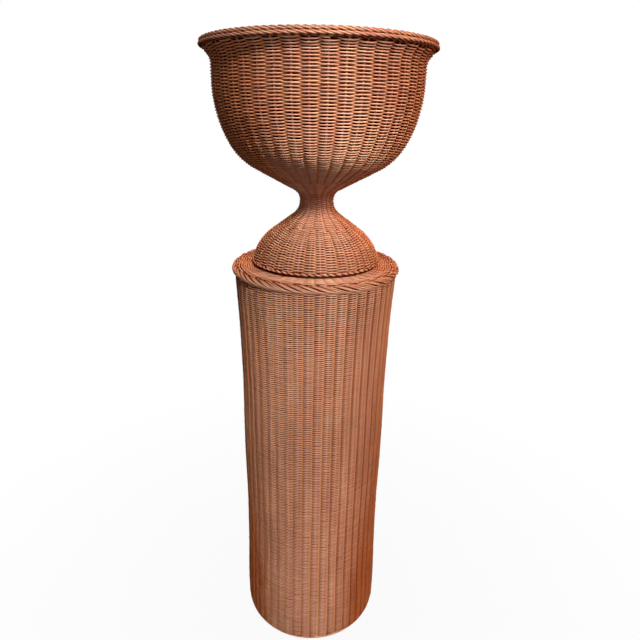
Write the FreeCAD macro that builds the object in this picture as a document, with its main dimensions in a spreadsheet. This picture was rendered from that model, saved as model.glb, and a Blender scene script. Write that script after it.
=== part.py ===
import FreeCAD
import Part
import Sketcher
import math
import os

# Wicker urn planter on a woven column.
# Millimetres, +Z up, the origin on the floor at the middle of the column.
# Woven walls are shells with the true outer shape; the stakes stand against their inner faces.
# The column's and the bowl's walls bulge over each stake; single strands are left to the scene.

doc = FreeCAD.newDocument("wicker_urn_planter")

# Driving sizes, in millimetres and degrees

SIZES = [
    ("column_height", "1000", "floor to the woven top that the urn stands on"),
    ("column_diameter", "356", "over the woven wall"),
    ("weaver_diameter", "2.6", "round reed of the weave"),
    ("stake_diameter", "4.2", "upright reeds and spokes"),
    ("stake_spacing", "0.25", "space between stakes where they are packed side by side"),
    ("column_stake_count", "49", "stakes round the column"),
    ("spoke_count", "49", "spokes of the woven top"),
    ("bowl_stake_count", "43", "stakes round the bowl"),
    ("foot_stake_count", "37", "stakes round the foot"),
    ("column_turn", "1.84", "degrees round to the column's first stake"),
    ("bowl_turn", "6.98", "degrees round to the bowl's first stake"),
    ("bulge_radius", "9", "round of the column's weave over a stake"),
    ("bulge_angle", "3.4", "degrees of the bowl's weave over a stake"),
    ("post_count", "4", "cane posts in the column"),
    ("fit_gap", "0.2", "space between round pieces that lie against each other"),
    ("hole_gap", "0.05", "brads and screws to their holes"),
    ("top_border_section", "26", "thickness of the column's plaited border"),
    ("top_border_proud", "3", "plaited border above the woven top"),
    ("base_border_height", "9", "border that stands on the floor"),
    ("base_border_proud", "3", "base border outside the wall"),
    ("base_border_inside", "2", "base border inside the stakes"),
    ("border_round", "4", "rounding of the base and foot borders"),
    ("frame_hoop_diameter", "16", "thickness of the bent cane hoops in the column"),
    ("base_hoop_height", "30", "middle of the base hoop above the floor"),
    ("post_diameter", "20", "thickness of the cane posts"),
    ("board_thickness", "9", "plywood of the top board and the bowl floor"),
    ("brad_diameter", "2", "headless nails"),
    ("brad_hold", "8", "depth of a brad in the second piece"),
    ("foot_radius", "143.5", "outer face of the foot's lower edge"),
    ("foot_lean", "12", "degrees that the foot's lower edge leans in"),
    ("foot_slope", "54", "degrees from upright of the foot's straight part"),
    ("foot_round", "105", "radius of the foot's outward curve"),
    ("foot_hollow", "38", "radius of the curve from the foot into the neck"),
    ("foot_border_section", "10", "rope edge under the foot"),
    ("foot_border_proud", "2", "rope edge outside the foot's wall"),
    ("foot_lift", "1.5", "foot hoop and brace above the woven top"),
    ("small_hoop_diameter", "10", "thickness of the cane hoops in the rim and the foot"),
    ("brace_thickness", "12", "bar across the foot"),
    ("brace_width", "30", "bar across the foot"),
    ("bowl_radius", "217", "outer face of the bowl's upright wall"),
    ("bowl_slope", "62", "degrees from upright of the bowl's straight underside"),
    ("bowl_hollow", "25", "radius of the curve from the neck into the bowl"),
    ("bowl_round", "125", "radius of the bowl's lower curve"),
    ("bowl_side_slope", "30", "degrees from upright where the lower curve meets the side"),
    ("bowl_side", "235", "radius of the bowl's side"),
    ("bowl_upright", "40", "upright part under the flare"),
    ("flare_radius", "26", "curve of the flared rim"),
    ("flare_angle", "45", "degrees that the rim turns out"),
    ("rim_border_section", "18", "thickness of the plaited rim"),
    ("rim_hoop_drop", "12", "rim hoop below the start of the flare"),
    ("bowl_floor_radius", "92", "board low in the bowl"),
    ("screw_diameter", "4.5", "wood screws of the core"),
    ("screw_head", "9", "countersunk head"),
    ("screw_length", "40", "over the head"),
    ("liner_wall", "1", "sheet of the pot liner"),
    ("liner_clearance", "7", "edge of the liner to the rim hoop"),
    ("liner_bead", "7", "rolled edge of the liner"),
    ("liner_drop", "8", "edge of the liner below the rim hoop"),
    ("liner_margin", "18", "edge of the bowl floor outside the liner's flat base"),
    ("liner_corner", "10", "rounding of the liner's base"),
]

sizes = doc.addObject("Spreadsheet::Sheet", "sizes")
for row, (alias, text, meaning) in enumerate(SIZES, 1):
    sizes.set(f"A{row}", meaning)
    sizes.set(f"B{row}", text)
    sizes.setAlias(f"B{row}", alias)
doc.recompute()

# Places worked out from the driving sizes; r is a distance from the axis, z a height above the floor

PLACES = [
    ("weave", "2 * sizes.weaver_diameter"),
    ("hollow", "sizes.weaver_diameter"),
    ("bulge_depth", "1.5 * sizes.weaver_diameter"),
    ("stake_axis", "weave + sizes.fit_gap + sizes.stake_diameter / 2"),
    ("stake_inside", "weave + sizes.fit_gap + sizes.stake_diameter"),
    ("pack_width", "sizes.stake_diameter + sizes.stake_spacing"),
    # column
    ("column_radius", "sizes.column_diameter / 2"),
    ("wall_inside", "column_radius - weave"),
    ("wall_face", "column_radius - hollow"),
    ("bulge_back", "column_radius - bulge_depth"),
    ("bulge_middle", "column_radius - sizes.bulge_radius"),
    ("column_stake_ring", "column_radius - stake_axis"),
    ("hoop_ring", "column_radius - stake_inside - sizes.fit_gap - sizes.frame_hoop_diameter / 2"),
    ("post_ring", "hoop_ring - sizes.frame_hoop_diameter / 2 - sizes.fit_gap - sizes.post_diameter / 2"),
    ("top_border_z", "sizes.column_height + sizes.top_border_proud - sizes.top_border_section / 2"),
    ("wall_top", "top_border_z - sizes.top_border_section / 2 - sizes.fit_gap"),
    ("wall_height", "wall_top - sizes.base_border_height"),
    ("top_radius", "column_radius - sizes.fit_gap - max(sizes.top_border_section / 2; stake_inside)"),
    ("top_weave_z", "sizes.column_height - weave"),
    ("spoke_z", "sizes.column_height - stake_axis"),
    ("spoke_start", "pack_width / (2 * sin(180 / sizes.spoke_count))"),
    ("spoke_length", "top_radius - spoke_start"),
    ("board_top", "sizes.column_height - stake_inside - sizes.fit_gap"),
    ("board_base", "board_top - sizes.board_thickness"),
    ("top_hoop_z", "min(wall_top; board_base) - sizes.fit_gap - sizes.frame_hoop_diameter / 2"),
    ("base_hoop_z", "sizes.base_hoop_height"),
    ("middle_hoop_z", "(top_hoop_z + base_hoop_z) / 2"),
    ("hoop_brad_start", "hoop_ring + sizes.frame_hoop_diameter / 2 - sizes.fit_gap"),
    ("hoop_brad_length", "sizes.frame_hoop_diameter + sizes.brad_hold"),
    ("board_brad_length", "sizes.board_thickness + sizes.brad_hold"),
    ("board_brad_z", "board_top - board_brad_length"),
    ("base_border_in", "column_radius - stake_inside - sizes.base_border_inside"),
    ("base_border_out", "column_radius + sizes.base_border_proud"),
    ("base_border_round", "min(sizes.border_round; 0.4 * sizes.base_border_height;"
                          " 0.4 * (base_border_out - base_border_in))"),
    # neck, as slim as the stakes packed side by side let it be
    ("neck_ring", "pack_width / (2 * sin(180 / max(sizes.bowl_stake_count; sizes.foot_stake_count)))"),
    ("neck_radius", "neck_ring + stake_axis"),
    ("core_radius", "neck_ring - sizes.stake_diameter / 2 - sizes.fit_gap"),
    # foot
    ("foot_base", "sizes.column_height + sizes.foot_border_section"),
    ("foot_border_out", "sizes.foot_radius + sizes.foot_border_proud"),
    ("foot_border_in", "foot_border_out - sizes.foot_border_section"),
    ("foot_border_round", "min(sizes.border_round; 0.4 * sizes.foot_border_section)"),
    ("foot_middle_r", "sizes.foot_radius - sizes.foot_round * cos(sizes.foot_lean)"),
    ("foot_middle_z", "foot_base - sizes.foot_round * sin(sizes.foot_lean)"),
    ("foot_run", "sizes.foot_radius - neck_radius - sizes.foot_hollow * (1 - cos(sizes.foot_slope))"
                 " - sizes.foot_round * (cos(sizes.foot_lean) - cos(sizes.foot_slope))"),
    ("neck_z", "foot_middle_z + (sizes.foot_round + sizes.foot_hollow) * sin(sizes.foot_slope)"
               " + foot_run / tan(sizes.foot_slope)"),
    ("foot_hoop_z", "sizes.column_height + sizes.foot_lift"
                    " + max(sizes.brace_thickness; sizes.small_hoop_diameter) / 2"),
    ("foot_hoop_reach", "sizes.foot_round - stake_inside - sizes.fit_gap - sizes.small_hoop_diameter / 2"),
    ("foot_hoop_rise", "foot_hoop_z - foot_middle_z"),
    ("foot_hoop_ring", "foot_middle_r"
                       " + sqrt(foot_hoop_reach * foot_hoop_reach - foot_hoop_rise * foot_hoop_rise)"),
    ("brace_reach", "foot_hoop_ring - sizes.small_hoop_diameter / 2 - sizes.fit_gap"
                    " - sizes.brace_width * sizes.brace_width / (8 * foot_hoop_ring)"),
    ("brace_base", "foot_hoop_z - sizes.brace_thickness / 2"),
    ("brace_top", "foot_hoop_z + sizes.brace_thickness / 2"),
    ("foot_brad_start", "foot_hoop_ring + sizes.small_hoop_diameter / 2 - sizes.fit_gap"),
    ("foot_brad_length", "sizes.small_hoop_diameter + sizes.brad_hold"),
    # bowl
    ("bowl_run", "sizes.bowl_radius - neck_radius - sizes.bowl_hollow * (1 - cos(sizes.bowl_slope))"
                 " - sizes.bowl_round * (cos(sizes.bowl_side_slope) - cos(sizes.bowl_slope))"
                 " - sizes.bowl_side * (1 - cos(sizes.bowl_side_slope))"),
    ("flare_z", "neck_z + sizes.bowl_hollow * sin(sizes.bowl_slope) + bowl_run / tan(sizes.bowl_slope)"
                " + sizes.bowl_round * (sin(sizes.bowl_slope) - sin(sizes.bowl_side_slope))"
                " + sizes.bowl_side * sin(sizes.bowl_side_slope) + sizes.bowl_upright"),
    ("rim_reach", "sizes.rim_border_section / 2 + sizes.fit_gap"),
    ("rim_ring", "sizes.bowl_radius + sizes.flare_radius * (1 - cos(sizes.flare_angle))"
                 " - weave / 2 * cos(sizes.flare_angle) + rim_reach * sin(sizes.flare_angle)"),
    ("rim_z", "flare_z + sizes.flare_radius * sin(sizes.flare_angle)"
              " + weave / 2 * sin(sizes.flare_angle) + rim_reach * cos(sizes.flare_angle)"),
    ("rim_hoop_ring", "sizes.bowl_radius - stake_inside - sizes.fit_gap - sizes.small_hoop_diameter / 2"),
    ("rim_hoop_z", "flare_z - sizes.rim_hoop_drop"),
    ("floor_side", "sizes.bowl_hollow + stake_inside + sizes.fit_gap"),
    ("floor_z", "neck_z + floor_side * sin(sizes.bowl_slope) + (sizes.bowl_floor_radius - neck_radius"
                " - sizes.bowl_hollow + floor_side * cos(sizes.bowl_slope)) / tan(sizes.bowl_slope)"),
    ("floor_top", "floor_z + sizes.board_thickness"),
    ("core_height", "floor_z - brace_top"),
    ("head_height", "(sizes.screw_head - sizes.screw_diameter) / 2"),
    ("shank_length", "sizes.screw_length - head_height"),
    # liner
    ("liner_base", "sizes.bowl_floor_radius - sizes.liner_margin"),
    ("liner_rim", "rim_hoop_ring - sizes.small_hoop_diameter / 2 - sizes.liner_clearance"
                  " - sizes.liner_bead / 2"),
    ("liner_height", "rim_hoop_z - sizes.small_hoop_diameter / 2 - sizes.liner_drop"
                     " - sizes.liner_bead / 2 - floor_top"),
]

places = doc.addObject("Spreadsheet::Sheet", "places")
for row, (alias, formula) in enumerate(PLACES, 1):
    places.set(f"A{row}", alias)
    places.set(f"B{row}", "=" + formula)
    places.setAlias(f"B{row}", alias)
doc.recompute()


# Helpers

def number(expression):
    return float(sizes.evalExpression(expression))


def bind(thing, **expressions):
    for path, expression in expressions.items():
        thing.setExpression(path.replace("__", "."), expression)
    return thing


def origin_of(body, role):
    return next(feature for feature in body.Origin.OriginFeatures if feature.Role == role)


def new_body(label):
    return doc.addObject("PartDesign::Body", label)


def new_sketch(body, label, plane):
    sketch = body.newObject("Sketcher::SketchObject", label)
    sketch.AttachmentSupport = [(origin_of(body, plane), "")]
    sketch.MapMode = "FlatFace"
    return sketch


def add_line(sketch, start, end):
    return sketch.addGeometry(Part.LineSegment(FreeCAD.Vector(*start), FreeCAD.Vector(*end)), False)


def add_arc(sketch, middle, radius, first, last):
    circle = Part.Circle(FreeCAD.Vector(*middle), FreeCAD.Vector(0, 0, 1), radius)
    return sketch.addGeometry(Part.ArcOfCircle(circle, math.radians(first), math.radians(last)), False)


def fix(sketch, expression, kind, *where):
    """Adds a constraint whose size follows the sheets."""
    size = number(expression)
    if kind == "Angle":
        size = math.radians(size)
    index = sketch.addConstraint(Sketcher.Constraint(kind, *where, size))
    sketch.setExpression(f"Constraints[{index}]", expression)


def place(sketch, geometry, vertex, across=None, up=None):
    """Holds a vertex at its distance from the axis and its height."""
    if across is not None:
        fix(sketch, across, "DistanceX", -1, 1, geometry, vertex)
    if up is not None:
        fix(sketch, up, "DistanceY", -1, 1, geometry, vertex)


def join(sketch, kind, first, first_vertex, second, second_vertex):
    sketch.addConstraint(Sketcher.Constraint(kind, first, first_vertex, second, second_vertex))


def add_circle(sketch, across, up, radius):
    middle = FreeCAD.Vector(number(across), number(up) if up else 0, 0)
    circle = sketch.addGeometry(Part.Circle(middle, FreeCAD.Vector(0, 0, 1), number(radius)), False)
    fix(sketch, radius, "Radius", circle)
    fix(sketch, across, "DistanceX", -1, 1, circle, 3)
    if up:
        fix(sketch, up, "DistanceY", -1, 1, circle, 3)
    else:
        sketch.addConstraint(Sketcher.Constraint("PointOnObject", circle, 3, -1))


def revolve(body, sketch):
    turned = body.newObject("PartDesign::Revolution", sketch.Name + "_turned")
    turned.Profile = sketch
    turned.ReferenceAxis = (sketch, ["V_Axis"])
    turned.Angle = 360
    body.Tip = turned
    return turned


def repeat_round(body, feature, count):
    ring = body.newObject("PartDesign::PolarPattern", feature.Name + "_ring")
    ring.Originals = [feature]
    ring.Axis = (origin_of(body, "Z_Axis"), [""])
    ring.Angle = 360
    body.Tip = ring
    bind(ring, Occurrences=count)


def torus(label, ring, section, z):
    return bind(doc.addObject("Part::Torus", label), Radius1=ring, Radius2=section + " / 2",
                Placement__Base__z=z)


def cylinder(label, radius, height, z, x="0", y="0"):
    return bind(doc.addObject("Part::Cylinder", label), Radius=radius, Height=height,
                Placement__Base__x=x, Placement__Base__y=y, Placement__Base__z=z)


def radial_pin(label, radius, length, start, angle, z):
    """A pin that points at the axis from the distance start."""
    inward = FreeCAD.Vector(-math.cos(math.radians(angle)), -math.sin(math.radians(angle)), 0)
    pin = doc.addObject("Part::Cylinder", label)
    pin.Placement = FreeCAD.Placement(FreeCAD.Vector(), FreeCAD.Rotation(FreeCAD.Vector(0, 0, 1), inward))
    return bind(pin, Radius=radius, Height=length, Placement__Base__x=f"{start} * cos({angle})",
                Placement__Base__y=f"{start} * sin({angle})", Placement__Base__z=z)


def group(label, members):
    compound = doc.addObject("Part::Compound", label)
    compound.Links = members
    return compound


def cut(label, blank, tool):
    piece = doc.addObject("Part::Cut", label)
    piece.Base = blank
    piece.Tool = tool
    return piece


def rounded_ring(label, inner, outer, bottom, top, rounding):
    """A ring with flat faces above and below and rounded edges."""
    body = new_body(label)
    sketch = new_sketch(body, label + "_section", "XZ_Plane")
    corners = [(inner, bottom), (outer, bottom), (outer, top), (inner, top)]
    points = [(number(r), number(z), 0) for r, z in corners]
    sides = [add_line(sketch, points[i], points[(i + 1) % 4]) for i in range(4)]
    for i in range(4):
        join(sketch, "Coincident", sides[i], 2, sides[(i + 1) % 4], 1)
        sketch.addConstraint(Sketcher.Constraint("Vertical" if i % 2 else "Horizontal", sides[i]))
    place(sketch, sides[0], 1, inner, bottom)
    place(sketch, sides[2], 1, outer, top)
    turned = revolve(body, sketch)
    doc.recompute()
    edges = [f"Edge{i}" for i, edge in enumerate(turned.Shape.Edges, 1) if isinstance(edge.Curve, Part.Circle)]
    rounded = body.newObject("PartDesign::Fillet", label + "_rounded")
    rounded.Base = (turned, edges)
    body.Tip = rounded
    bind(rounded, Radius=rounding)
    return body


def foot_curve(sketch, inset):
    """The foot's section, inset from its outer face; returns its lower and upper end."""
    inside = number(inset)
    slope = number("sizes.foot_slope")
    out = math.radians(slope)
    low = (number("places.foot_middle_r"), number("places.foot_middle_z"), 0)
    low_radius = number("sizes.foot_round") - inside
    high = (number("places.neck_radius + sizes.foot_hollow"), number("places.neck_z"), 0)
    high_radius = number("sizes.foot_hollow") + inside
    start = math.degrees(math.asin((number("places.foot_base") - low[1]) / low_radius))
    low_arc = add_arc(sketch, low, low_radius, start, slope)
    line = add_line(
        sketch,
        (low[0] + low_radius * math.cos(out), low[1] + low_radius * math.sin(out), 0),
        (high[0] - high_radius * math.cos(out), high[1] - high_radius * math.sin(out), 0),
    )
    high_arc = add_arc(sketch, high, high_radius, 180, 180 + slope)
    join(sketch, "Tangent", low_arc, 2, line, 1)
    join(sketch, "Tangent", line, 2, high_arc, 2)
    place(sketch, low_arc, 3, "places.foot_middle_r", "places.foot_middle_z")
    fix(sketch, f"sizes.foot_round - {inset}", "Radius", low_arc)
    place(sketch, low_arc, 1, up="places.foot_base")
    fix(sketch, f"sizes.foot_hollow + {inset}", "Radius", high_arc)
    fix(sketch, "sizes.foot_slope", "Angle", high_arc)
    place(sketch, high_arc, 1, f"places.neck_radius - {inset}")
    join(sketch, "Horizontal", high_arc, 3, high_arc, 1)
    return (low_arc, 1), (high_arc, 1)


def bowl_curve(sketch, inset):
    """The bowl's section, inset from its outer face; returns its lower and upper end."""
    inside = number(inset)
    slope = number("sizes.bowl_slope")
    side_slope = number("sizes.bowl_side_slope")
    out = math.radians(slope)
    turn = math.radians(side_slope)
    neck = (number("places.neck_radius + sizes.bowl_hollow"), number("places.neck_z"), 0)
    neck_radius = number("sizes.bowl_hollow") + inside
    run = number("places.bowl_run") / math.sin(out)
    foot = (neck[0] - neck_radius * math.cos(out), neck[1] + neck_radius * math.sin(out), 0)
    knee = (foot[0] + run * math.sin(out), foot[1] + run * math.cos(out), 0)
    round_radius = number("sizes.bowl_round") - inside
    round_middle = (knee[0] - round_radius * math.cos(out), knee[1] + round_radius * math.sin(out), 0)
    side_radius = number("sizes.bowl_side") - inside
    step = side_radius - round_radius
    side_middle = (round_middle[0] - step * math.cos(turn), round_middle[1] + step * math.sin(turn), 0)
    wall = number("sizes.bowl_radius") - inside
    flare_z = number("places.flare_z")
    flare_middle = (number("sizes.bowl_radius + sizes.flare_radius"), flare_z, 0)
    neck_arc = add_arc(sketch, neck, neck_radius, 180 - slope, 180)
    line = add_line(sketch, foot, knee)
    round_arc = add_arc(sketch, round_middle, round_radius, -slope, -side_slope)
    side_arc = add_arc(sketch, side_middle, side_radius, -side_slope, 0)
    upright = add_line(sketch, (wall, side_middle[1], 0), (wall, flare_z, 0))
    flare_arc = add_arc(sketch, flare_middle, number("sizes.flare_radius") + inside,
                        180 - number("sizes.flare_angle"), 180)
    join(sketch, "Tangent", neck_arc, 1, line, 1)
    join(sketch, "Tangent", line, 2, round_arc, 1)
    join(sketch, "Tangent", round_arc, 2, side_arc, 1)
    join(sketch, "Tangent", side_arc, 2, upright, 1)
    join(sketch, "Tangent", upright, 2, flare_arc, 2)
    place(sketch, neck_arc, 2, f"places.neck_radius - {inset}", "places.neck_z")
    join(sketch, "Horizontal", neck_arc, 3, neck_arc, 2)
    fix(sketch, f"sizes.bowl_hollow + {inset}", "Radius", neck_arc)
    fix(sketch, "sizes.bowl_slope", "Angle", neck_arc)
    fix(sketch, f"sizes.bowl_round - {inset}", "Radius", round_arc)
    fix(sketch, "sizes.bowl_slope - sizes.bowl_side_slope", "Angle", round_arc)
    fix(sketch, f"sizes.bowl_side - {inset}", "Radius", side_arc)
    fix(sketch, "sizes.bowl_side_slope", "Angle", side_arc)
    place(sketch, upright, 1, f"sizes.bowl_radius - {inset}")
    place(sketch, upright, 2, up="places.flare_z")
    fix(sketch, f"sizes.flare_radius + {inset}", "Radius", flare_arc)
    fix(sketch, "sizes.flare_angle", "Angle", flare_arc)
    return (neck_arc, 2), (flare_arc, 1)


def end_point(sketch, end):
    point = sketch.getPoint(*end)
    return (point.x, point.y, 0)


def wall_section(body, label, curve, face, back):
    """A closed section between two insets from a wall's outer face."""
    sketch = new_sketch(body, label, "XZ_Plane")
    for outer_end, inner_end in zip(curve(sketch, face), curve(sketch, back)):
        edge = add_line(sketch, end_point(sketch, outer_end), end_point(sketch, inner_end))
        join(sketch, "Coincident", edge, 1, *outer_end)
        join(sketch, "Coincident", edge, 2, *inner_end)
    return sketch


def woven_wall(label, curve, face="0"):
    """A shell turned round the axis, two weavers thick from the outer face to its back."""
    body = new_body(label)
    revolve(body, wall_section(body, label + "_section", curve, face, "places.weave"))
    return body


def add_bulges(body, curve, angle, count):
    """Bulges of a wall over its stakes, from the outer face into the shell."""
    section = wall_section(body, body.Name + "_bulge", curve, "0", "places.bulge_depth")
    bulge = revolve(body, section)
    bulge.Midplane = True
    bind(bulge, Angle=angle)
    doc.recompute()
    repeat_round(body, bulge, count)


def bent_stakes(label, curve, count):
    """Round rods that follow the inner face of a woven wall, from the neck on."""
    body = new_body(label)
    path = new_sketch(body, label + "_path", "XZ_Plane")
    curve(path, "places.stake_axis")
    section = new_sketch(body, label + "_section", "XY_Plane")
    bind(section, AttachmentOffset__Base__z="places.neck_z")
    add_circle(section, "places.neck_ring", None, "sizes.stake_diameter / 2")
    doc.recompute()
    rod = body.newObject("PartDesign::AdditivePipe", label + "_rod")
    rod.Profile = section
    rod.Spine = (path, [f"Edge{i}" for i in range(1, len(path.Shape.Edges) + 1)])
    body.Tip = rod
    doc.recompute()
    repeat_round(body, rod, count)
    return body


nodes = {}

# Column: woven wall, stakes and borders

wall = new_body("column_wall")
sketch = new_sketch(wall, "column_wall_section", "XY_Plane")
for radius in ("places.wall_face", "places.wall_inside"):
    circle = sketch.addGeometry(Part.Circle(FreeCAD.Vector(), FreeCAD.Vector(0, 0, 1), number(radius)), False)
    join(sketch, "Coincident", circle, 3, -1, 1)
    fix(sketch, radius, "Radius", circle)
raised = wall.newObject("PartDesign::Pad", "column_wall_raised")
raised.Profile = sketch
bind(raised, Length="places.wall_height")
sketch = new_sketch(wall, "column_bulge_section", "XY_Plane")
back = number("places.bulge_back")
middle = number("places.bulge_middle")
spread = math.acos((back - middle) / number("sizes.bulge_radius"))
face = add_arc(sketch, (middle, 0, 0), number("sizes.bulge_radius"), -math.degrees(spread), math.degrees(spread))
chord = add_line(sketch, end_point(sketch, (face, 2)), end_point(sketch, (face, 1)))
join(sketch, "Coincident", chord, 1, face, 2)
join(sketch, "Coincident", chord, 2, face, 1)
sketch.addConstraint(Sketcher.Constraint("Vertical", chord))
sketch.addConstraint(Sketcher.Constraint("PointOnObject", face, 3, -1))
place(sketch, face, 3, "places.bulge_middle")
place(sketch, chord, 1, "places.bulge_back")
fix(sketch, "sizes.bulge_radius", "Radius", face)
bulge = wall.newObject("PartDesign::Pad", "column_bulge")
bulge.Profile = sketch
bind(bulge, Length="places.wall_height")
doc.recompute()
repeat_round(wall, bulge, "sizes.column_stake_count")
bind(wall, Placement__Base__z="sizes.base_border_height", Placement__Rotation__Angle="sizes.column_turn")
nodes["column_wall"] = wall

stakes = new_body("column_stakes")
sketch = new_sketch(stakes, "column_stake_section", "XY_Plane")
add_circle(sketch, "places.column_stake_ring", None, "sizes.stake_diameter / 2")
raised = stakes.newObject("PartDesign::Pad", "column_stake")
raised.Profile = sketch
bind(raised, Length="places.wall_height")
doc.recompute()
repeat_round(stakes, raised, "sizes.column_stake_count")
bind(stakes, Placement__Base__z="sizes.base_border_height", Placement__Rotation__Angle="sizes.column_turn")
nodes["column_stakes"] = stakes

nodes["column_base_border"] = rounded_ring(
    "column_base_border", "places.base_border_in", "places.base_border_out", "0",
    "sizes.base_border_height", "places.base_border_round")
nodes["column_top_border"] = torus(
    "column_top_border", "places.column_radius", "sizes.top_border_section", "places.top_border_z")

# Column: woven top on its spokes

nodes["column_top_weave"] = cylinder(
    "column_top_weave", "places.top_radius", "places.weave", "places.top_weave_z")
spokes = new_body("column_top_spokes")
sketch = new_sketch(spokes, "column_top_spoke_section", "YZ_Plane")
bind(sketch, AttachmentOffset__Base__z="places.spoke_start")
add_circle(sketch, "0", "places.spoke_z", "sizes.stake_diameter / 2")
raised = spokes.newObject("PartDesign::Pad", "column_top_spoke")
raised.Profile = sketch
bind(raised, Length="places.spoke_length")
doc.recompute()
repeat_round(spokes, raised, "sizes.spoke_count")
nodes["column_top_spokes"] = spokes

# Column: frame of hoops, posts and a board, with its brads

HOOPS = ("top", "middle", "base")
turns = [360 / number("sizes.post_count") * i for i in range(round(number("sizes.post_count")))]
fasteners = {"brad": "sizes.brad_diameter / 2", "hole": "sizes.brad_diameter / 2 + sizes.hole_gap"}
hoop_pins = {}
board_pins = {}
for kind, radius in fasteners.items():
    hoop_pins[kind] = [
        radial_pin(f"{hoop}_hoop_{kind}_{i}", radius, "places.hoop_brad_length", "places.hoop_brad_start",
                   angle, f"places.{hoop}_hoop_z")
        for hoop in HOOPS for i, angle in enumerate(turns, 1)
    ]
    board_pins[kind] = [
        cylinder(f"board_{kind}_{i}", radius, "places.board_brad_length", "places.board_brad_z",
                 f"places.post_ring * cos({angle})", f"places.post_ring * sin({angle})")
        for i, angle in enumerate(turns, 1)
    ]
nodes["hoop_brads"] = group("hoop_brads", hoop_pins["brad"])
nodes["board_brads"] = group("board_brads", board_pins["brad"])
hoop_holes = group("hoop_brad_holes", hoop_pins["hole"])
board_holes = group("board_brad_holes", board_pins["hole"])

for hoop in HOOPS:
    label = f"frame_{hoop}_hoop"
    blank = torus(label + "_blank", "places.hoop_ring", "sizes.frame_hoop_diameter", f"places.{hoop}_hoop_z")
    nodes[label] = cut(label, blank, hoop_holes)
for i, angle in enumerate(turns, 1):
    label = f"frame_post_{i}"
    blank = cylinder(label + "_blank", "sizes.post_diameter / 2", "places.board_base", "0",
                     f"places.post_ring * cos({angle})", f"places.post_ring * sin({angle})")
    bored = cut(label + "_bored", blank, hoop_holes)
    nodes[label] = cut(label, bored, board_holes)
blank = cylinder("top_board_blank", "places.top_radius", "sizes.board_thickness", "places.board_base")
nodes["top_board"] = cut("top_board", blank, board_holes)

# Urn: woven bowl and foot

nodes["bowl_wall"] = woven_wall("bowl_wall", bowl_curve, "places.hollow")
add_bulges(nodes["bowl_wall"], bowl_curve, "sizes.bulge_angle", "sizes.bowl_stake_count")
nodes["bowl_stakes"] = bent_stakes("bowl_stakes", bowl_curve, "sizes.bowl_stake_count")
for label in ("bowl_wall", "bowl_stakes"):
    bind(nodes[label], Placement__Rotation__Angle="sizes.bowl_turn")
nodes["rim_border"] = torus("rim_border", "places.rim_ring", "sizes.rim_border_section", "places.rim_z")
nodes["rim_hoop"] = torus(
    "rim_hoop", "places.rim_hoop_ring", "sizes.small_hoop_diameter", "places.rim_hoop_z")
nodes["foot_wall"] = woven_wall("foot_wall", foot_curve)
nodes["foot_stakes"] = bent_stakes("foot_stakes", foot_curve, "sizes.foot_stake_count")
nodes["foot_border"] = rounded_ring(
    "foot_border", "places.foot_border_in", "places.foot_border_out", "sizes.column_height",
    "places.foot_base", "places.foot_border_round")

# Urn: core from the brace in the foot to the bowl floor

foot_pins = {
    kind: [
        radial_pin(f"foot_{kind}_{i}", radius, "places.foot_brad_length", "places.foot_brad_start",
                   angle, "places.foot_hoop_z")
        for i, angle in enumerate((0, 180), 1)
    ]
    for kind, radius in fasteners.items()
}
nodes["foot_brads"] = group("foot_brads", foot_pins["brad"])
foot_holes = group("foot_brad_holes", foot_pins["hole"])

blank = torus("foot_hoop_blank", "places.foot_hoop_ring", "sizes.small_hoop_diameter", "places.foot_hoop_z")
nodes["foot_hoop"] = cut("foot_hoop", blank, foot_holes)


def screw(label, gap):
    """One screw down through the bowl floor and one up through the brace."""
    shank = f"sizes.screw_diameter / 2 + {gap}"
    head = f"sizes.screw_head / 2 + {gap}"
    upper = doc.addObject("Part::Fuse", label + "_upper")
    upper.Base = bind(doc.addObject("Part::Cone", label + "_upper_head"), Radius1=shank, Radius2=head,
                      Height="places.head_height",
                      Placement__Base__z="places.floor_top - places.head_height")
    upper.Tool = cylinder(label + "_upper_shank", shank, "places.shank_length",
                          "places.floor_top - sizes.screw_length")
    lower = doc.addObject("Part::Fuse", label + "_lower")
    lower.Base = bind(doc.addObject("Part::Cone", label + "_lower_head"), Radius1=head, Radius2=shank,
                      Height="places.head_height", Placement__Base__z="places.brace_base")
    lower.Tool = cylinder(label + "_lower_shank", shank, "places.shank_length",
                          "places.brace_base + places.head_height")
    return group(label, [upper, lower])


nodes["core_screws"] = screw("core_screws", "0")
screw_holes = screw("core_screw_holes", "sizes.hole_gap")

blank = bind(doc.addObject("Part::Box", "foot_brace_blank"), Length="2 * places.brace_reach",
             Width="sizes.brace_width", Height="sizes.brace_thickness",
             Placement__Base__x="-places.brace_reach", Placement__Base__y="-sizes.brace_width / 2",
             Placement__Base__z="places.brace_base")
bored = cut("foot_brace_bored", blank, foot_holes)
nodes["foot_brace"] = cut("foot_brace", bored, screw_holes)
blank = cylinder("neck_core_blank", "places.core_radius", "places.core_height", "places.brace_top")
nodes["neck_core"] = cut("neck_core", blank, screw_holes)
blank = cylinder("bowl_floor_blank", "sizes.bowl_floor_radius", "sizes.board_thickness", "places.floor_z")
nodes["bowl_floor"] = cut("bowl_floor", blank, screw_holes)

# Liner: tapered sheet pot with a rolled edge

liner = new_body("pot_liner")
sketch = new_sketch(liner, "pot_liner_section", "XZ_Plane")
rim = number("places.liner_rim")
height = number("places.liner_height")
base = number("places.liner_base")
corner = number("sizes.liner_corner")
sheet = number("sizes.liner_wall")
lean = math.atan2(height - corner, rim - base)


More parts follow.
